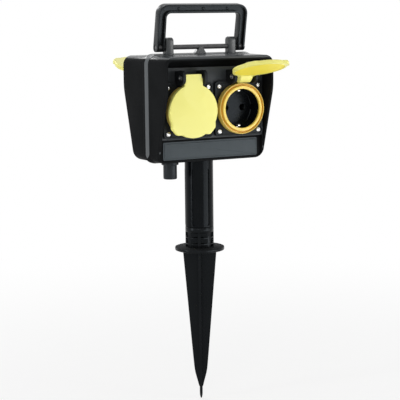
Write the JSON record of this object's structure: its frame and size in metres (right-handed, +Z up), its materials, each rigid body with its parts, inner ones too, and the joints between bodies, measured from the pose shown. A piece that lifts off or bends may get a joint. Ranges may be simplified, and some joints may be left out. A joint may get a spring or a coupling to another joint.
{
  "type": "garden socket",
  "caption": "Garden power box on a ground spike: earthed sockets under sprung lids in both faces, a folding carrying handle on top and a cable inlet below.",
  "frame": {"origin": "on the spike's axis at ground level, in the plane of the stop disc's underside", "axes": "+Z up along the spike and column, -Y out of the front face, +X to the right when facing the front"},
  "size_m": [0.123, 0.1938, 0.401],
  "materials": {
    "housing_black": "fine-eroded satin black moulding",
    "spike_black": "satin black moulding",
    "handle_black": "satin black moulding",
    "axle_black": "black coated rod",
    "flange_black": "satin black moulding",
    "insert_black": "glossy black thermoset",
    "collar_yellow": "golden yellow moulding",
    "lid_yellow": "pale lemon yellow moulding, semi-gloss",
    "pad_yellow": "soft yellow sealing pad",
    "seal_rubber": "soft black rubber",
    "sleeve_rubber": "firm black rubber",
    "screw_steel": "bright nickel-plated steel",
    "pin_steel": "bright drawn steel",
    "contact_metal": "nickel-plated brass",
    "inner_plastic": "natural polyamide",
    "plate_grey": "bare dark grey plate"
  },
  "bodies": {
    "root": {"cable_sleeve": "sleeve_rubber", "collar_front_left": "collar_yellow", "collar_front_right": "collar_yellow", "collar_rear_left": "collar_yellow", "collar_rear_right": "collar_yellow", "column": "housing_black", "contacts_front_left": "contact_metal", "contacts_front_right": "contact_metal", "contacts_rear_left": "contact_metal", "contacts_rear_right": "contact_metal", "cord_grip": "inner_plastic", "cord_grip_screws": "screw_steel", "earth_clip_front_left": "contact_metal", "earth_clip_front_right": "contact_metal", "earth_clip_rear_left": "contact_metal", "earth_clip_rear_right": "contact_metal", "flange_front_left": "flange_black", "flange_front_right": "flange_black", "flange_gasket_front_left": "seal_rubber", "flange_gasket_front_right": "seal_rubber", "flange_gasket_rear_left": "seal_rubber", "flange_gasket_rear_right": "seal_rubber", "flange_rear_left": "flange_black", "flange_rear_right": "flange_black", "flange_screws": "screw_steel", "front_shell": "housing_black", "ground_spike": "spike_black", "handle_axle": "axle_black", "hinge_pin_front_left": "pin_steel", "hinge_pin_front_right": "pin_steel", "hinge_pin_rear_left": "pin_steel", "hinge_pin_rear_right": "pin_steel", "housing_screws": "screw_steel", "housing_seal": "seal_rubber", "insert_front_left": "insert_black", "insert_front_right": "insert_black", "insert_rear_left": "insert_black", "insert_rear_right": "insert_black", "label_plate": "plate_grey", "lid_spring_front_left": "pin_steel", "lid_spring_front_right": "pin_steel", "lid_spring_rear_left": "pin_steel", "lid_spring_rear_right": "pin_steel", "rear_shell": "housing_black", "terminal_block": "inner_plastic"},
    "lid_front_left": {"lid_front_left": "lid_yellow", "lid_gasket_front_left": "pad_yellow"},
    "lid_front_right": {"lid_front_right": "lid_yellow", "lid_gasket_front_right": "pad_yellow"},
    "lid_rear_left": {"lid_rear_left": "lid_yellow", "lid_gasket_rear_left": "pad_yellow"},
    "lid_rear_right": {"lid_rear_right": "lid_yellow", "lid_gasket_rear_right": "pad_yellow"},
    "handle": {"handle": "handle_black"}
  },
  "joints": [
    {"name": "lid_front_left_hinge", "type": "hinge", "parent": "root", "child": "lid_front_left", "pos_m": [0, -0.041, 0.1751], "axis": [-1, 0, 0], "range_deg": [0, 105], "stiffness_Nm_per_rad": 0.01, "springref_deg": -57.3},
    {"name": "lid_front_right_hinge", "type": "hinge", "parent": "root", "child": "lid_front_right", "pos_m": [0, -0.041, 0.1751], "axis": [-1, 0, 0], "range_deg": [-105, 0], "stiffness_Nm_per_rad": 0.01, "springref_deg": 57.3},
    {"name": "lid_rear_left_hinge", "type": "hinge", "parent": "root", "child": "lid_rear_left", "pos_m": [0, 0.041, 0.1751], "axis": [1, 0, 0], "range_deg": [0, 105], "stiffness_Nm_per_rad": 0.01, "springref_deg": -57.3},
    {"name": "lid_rear_right_hinge", "type": "hinge", "parent": "root", "child": "lid_rear_right", "pos_m": [0, 0.041, 0.1751], "axis": [1, 0, 0], "range_deg": [-105, 0], "stiffness_Nm_per_rad": 0.01, "springref_deg": 57.3},
    {"name": "handle_hinge", "type": "hinge", "parent": "root", "child": "handle", "pos_m": [0, -0.0045, 0.2038], "axis": [1, 0, 0], "range_deg": [-100, 80]}
  ]
}
